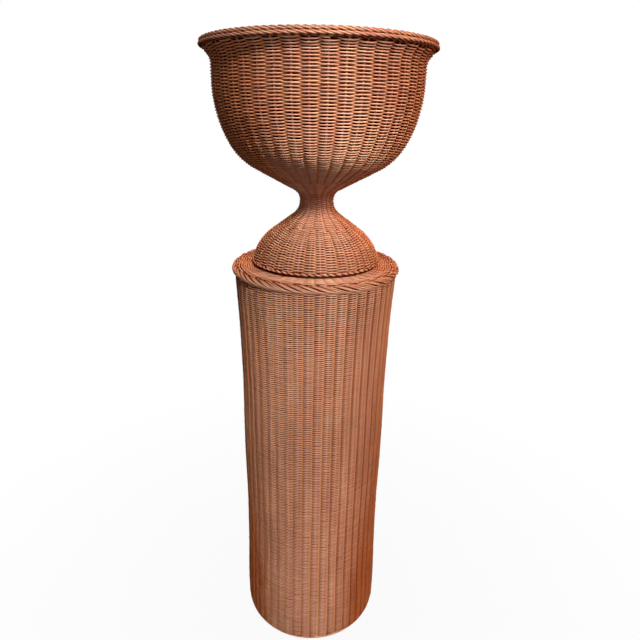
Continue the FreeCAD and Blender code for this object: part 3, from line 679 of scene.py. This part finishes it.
def wicker(name, recess=0.45, shaded=-0.1, strip=0.36, lit_from=-6, worn_and_highlit=0.28, edge=0.35, shade_whole_below=0.2,
           shade_gone_above=0.95):
    """Stained reed, with light and shade painted over it. Painted shade darkens and reddens the sides of a
    wall that turn away from the light at lit_from, more so near the floor, and darkens a strand where it lies
    deep in
    the wall: recess is how much of the reed's colour is left where that is darkest, and shaded how far out of
    the wall it reaches. strip is how much the parts of a wall differ, worn_and_highlit how pale the strands'
    crests are, from wear and a painted highlight, and edge how strong the painted light on the right flank of
    each stake and the painted shade on its left are. lit_from is the angle from the front, in degrees to the
    right, of that light. The painted side shade is whole where the wall faces the light less than
    shade_whole_below, and gone where it faces it more than shade_gone_above."""
    look = Look(name)
    outward = look.vector("NORMALIZE", look.stretch(look.place, 1.0, 1.0, 0.0))
    shade, streak = reed_shade(look, outward, strip)
    crest = look.value_of("crest")
    # Crests paler from wear, with a painted highlight on them
    shade = look.mix(look.spread(crest, 0.2, 1.0, 0.0, worn_and_highlit), shade, RUBBED_AND_HIGHLIT)

    # Painted shade: darker and redder where the wall turns away from the front light, and more so near the
    # floor
    light_way = (math.sin(math.radians(lit_from)), -math.cos(math.radians(lit_from)), 0)
    facing_light = look.vector("DOT_PRODUCT", outward, light_way, result="Value")
    low = look.spread(look.split(look.place)["Z"], SIDE_SHADE_LOW, SIDE_SHADE_HIGH, 1.0, 0.0)
    side_shade_tint = look.mix(low, PAINTED_SIDE_SHADE, PAINTED_SIDE_SHADE_LOW)
    whole_below = look.spread(low, 0.0, 1.0, shade_whole_below, SHADE_WHOLE_BELOW_LOW)
    side_shade_mask = look.spread(facing_light, whole_below, shade_gone_above, 1.0, 0.0)
    shade = look.mix(side_shade_mask, shade, side_shade_tint, "MULTIPLY")
    # Painted shade where a strand lies deep in the wall
    shade = look.mix(look.spread(crest, -1.0, shaded, recess, 1.0), DEEP_SHADE, shade)

    # Painted light on the right flank where a strand turns in at a stake, and painted shade on its left flank
    flank = look.value_of("flank")
    seen = look.spread(crest, -0.6, 0.1, 0.0, 1.0)
    right = look.maths("MULTIPLY", look.spread(flank, 0.6, 1.0, 0.0, edge), seen)
    shade = look.mix(right, shade, look.mix(side_shade_mask, PAINTED_FLANK_LIGHT, side_shade_tint, "MULTIPLY"))
    shade = look.mix(look.spread(flank, -1.0, -0.4, 0.6 * edge, 0.0), shade, PAINTED_FLANK_SHADE)
    look.bump(streak, 0.3 * MM, 0.6)
    return look.finish(shade, look.spread(streak, 0.3, 0.7, 0.36, 0.52), matt=True)


def dark_inside(name):
    """Painted shade for the shell between the strands: dark brown, for the unlit depth of the wall."""
    look = Look(name)
    cloud = look.noise(look.place, 3.0, scale=60.0)
    shade = look.ramp(cloud, [(0.3, colour(46, 13, 6)), (0.7, colour(68, 22, 10))])
    return look.finish(shade, look.spread(cloud, 0.3, 0.7, 0.8, 0.95), matt=True)


# Each reed material lays painted shade and painted light over the reed's stained colour
reed = wicker("stained_reed_painted_light")
bowl_reed = wicker("stained_bowl_reed_painted_light", recess=0.15, shaded=0.1, lit_from=12, edge=0.45, shade_whole_below=0.6,
                   shade_gone_above=0.98)
column_reed = wicker("stained_column_reed_painted_light", recess=0.0, shaded=0.5, strip=0.42, lit_from=-4, worn_and_highlit=0.36,
                     edge=0.8)
border_reed = wicker("stained_border_reed_painted_light", recess=0.15, shaded=0.1, strip=0.2)
stake_reed = wicker("stained_stakes_painted_light", recess=0.3)
wall_shade = dark_inside("wall_shade")


# Cane, wood and metal

CANE_SHADES = [(0.25, colour(176, 130, 82)), (0.55, colour(208, 166, 112)), (0.8, colour(222, 186, 138))]
CANE_JOINT = colour(132, 88, 52)
CANE_FIBRES = 900.0          # per metre across the cane


def cane(name, round_hoop):
    """Peeled rattan cane, for a hoop or an upright post: pale tan with fine lengthwise fibres, and darker at
    its joints."""
    look = Look(name)
    if round_hoop:
        place = look.split(look.place)
        angle = look.maths("ARCTAN2", place["Y"], place["X"])
        reach = look.vector("LENGTH", look.stretch(look.place, 1.0, 1.0, 0.0), result="Value")
        lengthwise = look.add("ShaderNodeCombineXYZ", {}, reach, place["Z"], angle).outputs[0]
        fibres = look.noise(look.stretch(lengthwise, CANE_FIBRES, CANE_FIBRES, 1.5), 3.0)
        joint = look.noise(look.stretch(lengthwise, 0.0, 0.0, 4.0), 0.0)
    else:
        fibres = look.noise(look.stretch(look.place, CANE_FIBRES, CANE_FIBRES, 9.0), 3.0)
        joint = look.noise(look.stretch(look.place, 6.0, 6.0, 7.0), 0.0)
    shade = look.mix(look.spread(joint, 0.62, 0.68, 0.0, 0.55), look.ramp(fibres, CANE_SHADES), CANE_JOINT)
    look.bump(fibres, 0.4 * MM, 0.5)
    return look.finish(shade, look.spread(fibres, 0.3, 0.7, 0.42, 0.6))


def timber(name, light, dark, grain, plies=0.0):
    """Sawn or turned wood. grain stretches its pattern along the wood, and plies is the thickness of the
    layers of plywood, which show on its edges."""
    look = Look(name)
    rings = look.noise(look.stretch(look.place, *grain), 5.0, rough=0.62)
    shade = look.ramp(rings, [(0.3, dark), (0.5, light), (0.75, light)])
    if plies:
        layer = look.maths("SINE", look.maths("MULTIPLY", look.split(look.place)["Z"], math.pi / plies))
        upward = look.split(look.add("ShaderNodeNewGeometry").outputs["Normal"])["Z"]
        edge = look.maths("LESS_THAN", look.maths("ABSOLUTE", upward), 0.5)
        dark_layer = look.maths("MULTIPLY", look.maths("GREATER_THAN", layer, 0.0), edge)
        shade = look.mix(look.maths("MULTIPLY", dark_layer, 0.6), shade, dark)
    look.bump(rings, 0.5 * MM, 0.4)
    return look.finish(shade, look.spread(rings, 0.3, 0.7, 0.55, 0.75))


def metal(name, light, dark, spangle, roughness):
    """Metal with patches of slightly different brightness and polish, spangle of them per metre."""
    look = Look(name)
    cells = look.add("ShaderNodeTexVoronoi", Vector=look.place, Scale=spangle).outputs["Color"]
    patches = look.add("ShaderNodeSeparateColor", Color=cells).outputs[0]
    cloud = look.noise(look.place, 4.0, scale=spangle * 0.6)
    value = look.maths("MULTIPLY_ADD", patches, 0.45, look.maths("MULTIPLY", cloud, 0.55))
    shade = look.ramp(value, [(0.2, dark), (0.75, light)])
    polish = look.spread(value, 0.2, 0.8, roughness - 0.08, roughness + 0.1)
    return look.finish(shade, polish, metallic=1.0)


# Wall of the column

column_height = np.linspace(COLUMN_BOTTOM, COLUMN_TOP, SWELL_STEPS)
swell_height, swell = np.array(COLUMN_SWELL).T * MM
blend_shifts = np.linspace(-SWELL_BLEND, SWELL_BLEND, BLEND_STEPS)
smooth_swell = np.mean([np.interp(column_height + shift, swell_height, swell) for shift in blend_shifts], 0)
column_wall = Wall(np.stack([COLUMN_RADIUS + smooth_swell, column_height], 1), DEPTH)

weave_in_parts(column_wall, COLUMN_STAKES, 0, COLUMN_PITCH, COLUMN_TURN, COLUMN_PARTS, "column_weave",
               "column", column_reed, "column_wall")
bundle = stakes(column_wall, even_angles(COLUMN_STAKES, COLUMN_TURN), 0, column_wall.length)
piece(bundle, "column_stake_rods", "column", stake_reed, "stakes", "column_stakes")
piece(ShadeShell(column_wall), "column_shade_shell", "column", wall_shade, "weave", "column_wall")

bundle = Bundle()
for number, radius in enumerate(BASE_ROPE_RADII):
    rope(bundle, radius, BASE_ROPE_HEIGHT, strands=3, twists=44, reach=1.5 * MM, thick=2.1 * MM,
         start=number)
piece(bundle, "column_base_rope", "column", border_reed, "borders", "column_base_border")

# Border of the column

bundle = Bundle()
ring_core(bundle, BORDER_RADIUS, BORDER_HEIGHT, BORDER_CORE)
plait(bundle, BORDER_RADIUS, BORDER_HEIGHT, BORDER_SECTION + PLAIT_LIFT, COLUMN_STAKES, reeds=2, span=3.6,
      top=math.radians(62), low=math.radians(-78), thick=1.65 * MM, turn=COLUMN_TURN)
scallops(bundle, BORDER_RADIUS, BORDER_HEIGHT, BORDER_SECTION, count=20, span=1.35, low=math.radians(-72),
         rise=math.radians(12), thick=1.3 * MM, turn=COLUMN_TURN)
piece(bundle, "column_border_plait", "column", border_reed, "borders", "column_top_border")

# Woven top of the column

top_start = BORDER_RADIUS + BORDER_SECTION * math.cos(SHOULDER)
top_flat = BORDER_RADIUS - 2 * DIP_BEND * math.sin(DIP)
top_outer = walk(top_start, BORDER_HEIGHT + BORDER_SECTION * math.sin(SHOULDER), -SHOULDER, [
    (BORDER_SECTION, LEVEL), (DIP_BEND, LEVEL - DIP), (DIP_BEND, LEVEL), (top_flat - TOP_CENTRE, None),
])
top_wall = Wall(top_outer, DEPTH)
hub_way = top_wall.length - TOP_HUB + TOP_CENTRE
top_rows = int((hub_way - TOP_WEAVE_START) / TOP_PITCH)
hub_rows = int((top_wall.length - hub_way) / TOP_PITCH)
bundle = weave(top_wall, COLUMN_STAKES, TOP_WEAVE_START, top_rows, TOP_PITCH, COLUMN_TURN)
piece(bundle, "column_top_weaving", "column", reed, "weave", "column_top_weave")
bundle = weave(top_wall, HUB_SPOKES, hub_way, hub_rows, TOP_PITCH, COLUMN_TURN, steps=6)
piece(bundle, "column_top_hub", "column", reed, "weave", "column_top_weave")
bundle = stakes(top_wall, even_angles(COLUMN_STAKES, COLUMN_TURN), TOP_SPOKE_START, hub_way)
piece(bundle, "column_top_spoke_rods", "column", stake_reed, "stakes", "column_top_spokes")
piece(ShadeShell(top_wall), "column_top_shade_shell", "column", wall_shade, "weave", "column_top_weave")

# Foot of the urn

foot_bend = FOOT_ROUND * (math.cos(FOOT_LEAN) - math.cos(FOOT_SLOPE))
foot_bend += FOOT_HOLLOW * (1 - math.cos(FOOT_SLOPE))
foot_line = (FOOT_RADIUS - NECK_RADIUS - foot_bend) / math.sin(FOOT_SLOPE)
foot_outer = walk(FOOT_RADIUS, FOOT_BOTTOM, -FOOT_LEAN, [
    (FOOT_ROUND, -FOOT_SLOPE), (foot_line, None), (FOOT_HOLLOW, 0.0),
])
foot_wall = Wall(foot_outer, DEPTH)
foot_rows = round(foot_wall.way_at(FOOT_GROUPING) / FOOT_PITCH)
foot_shut = FOOT_PITCH * foot_rows
bundle = weave(foot_wall, FOOT_STAKES, 0, foot_rows, FOOT_PITCH, FOOT_TURN, seed=3.0, steps=5, sides=6)
piece(bundle, "foot_weave_lower", "urn", reed, "weave", "foot_wall")
neck_start = foot_shut - NECK_OVERLAP * NECK_PITCH
neck_length = foot_wall.length - neck_start
neck_rows = round(neck_length / NECK_PITCH)
bundle = weave(foot_wall, FOOT_GROUPS, neck_start, neck_rows, neck_length / neck_rows, FOOT_TURN, seed=3.0,
               steps=7, sides=6)
piece(bundle, "foot_weave_upper", "urn", reed, "weave", "foot_wall")
foot_angles = grouped_angles(foot_wall, FOOT_STAKES, FOOT_GROUPS, FOOT_TURN, foot_shut - GROUPING_LENGTH,
                             foot_shut)
bundle = stakes(foot_wall, foot_angles, 0, foot_wall.length, spacing=6 * MM)
piece(bundle, "foot_stake_rods", "urn", stake_reed, "stakes", "foot_stakes")
piece(ShadeShell(foot_wall), "foot_shade_shell", "urn", wall_shade, "weave", "foot_wall")

bundle = Bundle()
rope(bundle, FOOT_RADIUS - FOOT_ROPE_INSET, FOOT_EDGE, strands=2, twists=31, reach=1.5 * MM, thick=1.9 * MM)
ring_core(bundle, FOOT_RADIUS - FOOT_RING_INSET, TOP_HEIGHT + FOOT_RING_HEIGHT, FOOT_RING, sides=8)
piece(bundle, "foot_rope", "urn", border_reed, "borders", "foot_border")

# Bowl of the urn

bowl_bend = BOWL_HOLLOW * (1 - math.cos(BOWL_SLOPE)) + BOWL_SIDE * (1 - math.cos(BOWL_SIDE_SLOPE))
bowl_bend += BOWL_ROUND * (math.cos(BOWL_SIDE_SLOPE) - math.cos(BOWL_SLOPE))
bowl_line = (BOWL_RADIUS - NECK_RADIUS - bowl_bend) / math.sin(BOWL_SLOPE)
bowl_outer = walk(NECK_RADIUS, NECK_HEIGHT, 0.0, [
    (BOWL_HOLLOW, BOWL_SLOPE), (bowl_line, None), (BOWL_ROUND, BOWL_SIDE_SLOPE), (BOWL_SIDE, 0.0),
    (BOWL_UPRIGHT, None), (FLARE_RADIUS, FLARE_ANGLE), (FLARE_LINE, None),
])
bowl_wall = Wall(bowl_outer, BOWL_DEPTH)
grouped_rows = round(bowl_wall.way_at(BOWL_GROUPING) / NECK_PITCH)
bowl_open = NECK_PITCH * grouped_rows
bundle = weave(bowl_wall, BOWL_GROUPS, 0, grouped_rows, NECK_PITCH, BOWL_TURN, seed=6.0, steps=7, sides=6)
piece(bundle, "bowl_weave_neck", "urn", reed, "weave", "bowl_wall")
weave_in_parts(bowl_wall, BOWL_STAKES, bowl_open, BOWL_PITCH, BOWL_TURN, BOWL_PARTS, "bowl_weave", "urn",
               bowl_reed, "bowl_wall", strand=BOWL_STRAND, swing=BOWL_SWING, snap=BOWL_SNAP, seed=6.0,
               steps=6, sides=6)
bowl_angles = grouped_angles(bowl_wall, BOWL_STAKES, BOWL_GROUPS, BOWL_TURN, bowl_open + GROUPING_LENGTH,
                             bowl_open)
bundle = stakes(bowl_wall, bowl_angles, 0, bowl_wall.length, spacing=8 * MM)
piece(bundle, "bowl_stake_rods", "urn", stake_reed, "stakes", "bowl_stakes")
piece(ShadeShell(bowl_wall), "bowl_shade_shell", "urn", wall_shade, "weave", "bowl_wall")

bundle = Bundle()
for out, up, start in RIM_ROPES:
    rope(bundle, RIM_RADIUS + out * MM, RIM_HEIGHT + up * MM, strands=4, twists=26, reach=2.15 * MM,
         thick=1.5 * MM, steps=16, start=start)
piece(bundle, "rim_ropes", "urn", border_reed, "borders", "rim_border")

# Frame, boards, fasteners and liner keep their solids

cane_post = cane("cane_posts", False)
cane_hoop = cane("cane_hoops", True)
plywood = timber("birch_plywood", colour(206, 172, 126), colour(170, 130, 86), grain=(9.0, 70.0, 120.0),
                 plies=1.5 * MM)
core_wood = timber("turned_beech", colour(196, 150, 104), colour(158, 110, 70), grain=(70.0, 70.0, 8.0))
brace_wood = timber("sawn_pine", colour(204, 164, 112), colour(166, 118, 72), grain=(7.0, 90.0, 90.0))
steel = metal("plain_steel", colour(176, 174, 170), colour(120, 116, 110), spangle=900.0, roughness=0.36)
zinc = metal("dull_zinc", colour(176, 180, 182), colour(132, 137, 140), spangle=55.0, roughness=0.46)

SOLID_LOOKS = {
    cane_post: ["frame_post_1", "frame_post_2", "frame_post_3", "frame_post_4"],
    cane_hoop: ["frame_base_hoop", "frame_middle_hoop", "frame_top_hoop", "rim_hoop", "foot_hoop"],
    plywood: ["top_board", "bowl_floor"],
    core_wood: ["neck_core"],
    brace_wood: ["foot_brace"],
    steel: ["hoop_brads", "board_brads", "foot_brads", "core_screws"],
    zinc: ["pot_liner"],
}
for look, names in SOLID_LOOKS.items():
    for name in names:
        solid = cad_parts[name].data
        solid.materials.clear()
        solid.materials.append(look)

# Floor and background, which are white to the camera and dark to the object

FLOOR_HALF = 9.0
FLOOR_SHADE = (0.2, 0.195, 0.19, 1)
SHADOW_REACH = 0.25, 1.3     # distances from the axis between which the floor's shadows fade out
SHADOW_WHITE = 0.95          # how white the floor is close to the object
ROOM_TINT = (0.93, 0.88, 0.90, 1)
ROOM_LIGHT = 0.05


def white_where_seen(nodes, share):
    """How much of a surface or the background is plain white to the camera, and in reflections."""
    path = nodes.add("ShaderNodeLightPath").outputs
    seen = nodes.maths("MAXIMUM", path["Is Camera Ray"], path["Is Glossy Ray"])
    seen = nodes.maths("MAXIMUM", seen, path["Is Transmission Ray"])
    return nodes.maths("MULTIPLY", seen, share)


floor_mesh = bpy.data.meshes.new("floor")
floor_corners = [(x * FLOOR_HALF, y * FLOOR_HALF, 0) for x, y in [(-1, -1), (1, -1), (1, 1), (-1, 1)]]
floor_mesh.from_pydata(floor_corners, [], [(0, 1, 2, 3)])
floor = bpy.data.objects.new("floor", floor_mesh)
bpy.context.scene.collection.objects.link(floor)
floor_look = Look("pale_floor")
floor_reach = floor_look.vector("LENGTH", floor_look.place, result="Value")
floor_white = floor_look.spread(floor_reach, *SHADOW_REACH, SHADOW_WHITE, 1.0)
floor_look.finish(FLOOR_SHADE, 0.9, matt=True)
glow = floor_look.add("ShaderNodeEmission", Color=WHITE)
blend = floor_look.add("ShaderNodeMixShader", {}, white_where_seen(floor_look, floor_white),
                       floor_look.shader.outputs[0], glow.outputs[0])
floor_look.set(floor_look.tree.nodes["Material Output"].inputs["Surface"], blend.outputs[0])
floor_mesh.materials.append(floor_look.material)

world = bpy.data.worlds.new("studio")
bpy.context.scene.world = world
world.use_nodes = True
studio = Nodes(world.node_tree)
room = studio.tree.nodes["Background"]
room.inputs["Color"].default_value = ROOM_TINT
room.inputs["Strength"].default_value = ROOM_LIGHT
backdrop = studio.add("ShaderNodeBackground", Color=WHITE)
blend = studio.add("ShaderNodeMixShader", {}, white_where_seen(studio, 1.0), room.outputs[0],
                   backdrop.outputs[0])
studio.set(studio.tree.nodes["World Output"].inputs["Surface"], blend.outputs[0])


# Lamps

SPOT_RADIUS = 0.08           # of a hooded lamp, to its distance
SPOT_BLEND = 0.4             # share of its patch of light that fades


def lamp(name, kind, azimuth, elevation, distance, watts, tint, aim):
    """A lamp that points at a height on the axis. Azimuth 0 is in front of the object, and positive to its
    right."""
    made = bpy.data.objects.new(name, bpy.data.lights.new(name, kind))
    bpy.context.scene.collection.objects.link(made)
    around, up = math.radians(azimuth), math.radians(elevation)
    towards = Vector((math.sin(around) * math.cos(up), -math.cos(around) * math.cos(up), math.sin(up)))
    made.location = Vector((0, 0, aim)) + distance * towards
    made.rotation_euler = towards.to_track_quat("Z", "Y").to_euler()
    made.data.energy = watts
    made.data.color = tint
    return made.data


def panel(name, azimuth, elevation, size, watts, tint, aim=1.1, distance=3.0):
    """A square soft lamp."""
    lamp(name, "AREA", azimuth, elevation, distance, watts, tint, aim).size = size


def spot(name, azimuth, elevation, distance, cone, watts, tint, aim):
    """A soft lamp with a hood, which lights a round patch that fades at its edge."""
    light = lamp(name, "SPOT", azimuth, elevation, distance, watts, tint, aim)
    light.shadow_soft_size = SPOT_RADIUS * distance
    light.spot_size = math.radians(cone)
    light.spot_blend = SPOT_BLEND


spot("column_light", 6, 2, distance=1.7, cone=40, watts=87, tint=(1.0, 0.92, 0.84), aim=0.43)
spot("column_side", 66, 2, distance=1.7, cone=40, watts=18, tint=(1.0, 0.8, 0.58), aim=0.43)
spot("rim_light", -8, 6, distance=3.0, cone=10, watts=106, tint=(0.95, 0.97, 0.97), aim=1.44)
spot("bowl_light", 34, 30, distance=3.0, cone=17, watts=196, tint=(0.93, 0.92, 0.86), aim=1.29)
spot("foot_light", 14, 42, distance=3.0, cone=10, watts=445, tint=(1.0, 0.96, 0.88), aim=1.04)
panel("top_light", 10, 62, size=0.6, watts=10, tint=(1.0, 0.95, 0.88))
panel("warm_side", 68, 12, size=1.0, watts=11, tint=(1.0, 0.5, 0.22), aim=0.8)
panel("back_light", 180, 38, size=1.8, watts=110, tint=(1.0, 0.96, 0.93))

# Camera, as it was fitted to the photograph

PHOTO_PIXELS = 640
FOCAL_PIXELS = 520.05
SENSOR = 36                  # mm
CAMERA_PLACE = (0.0125, -1.1685, 1.3142)
CAMERA_PITCH, CAMERA_ROLL = math.radians(21.504), math.radians(1.106)
camera = bpy.data.objects.new("camera", bpy.data.cameras.new("camera"))
bpy.context.scene.collection.objects.link(camera)
camera.data.sensor_width = SENSOR
camera.data.lens = SENSOR * FOCAL_PIXELS / PHOTO_PIXELS
camera_turn = Matrix.Rotation(math.pi / 2 - CAMERA_PITCH, 4, "X") @ Matrix.Rotation(CAMERA_ROLL, 4, "Z")
camera.matrix_world = Matrix.Translation(CAMERA_PLACE) @ camera_turn
bpy.context.scene.camera = camera
bpy.context.scene.view_settings.view_transform = "Standard"
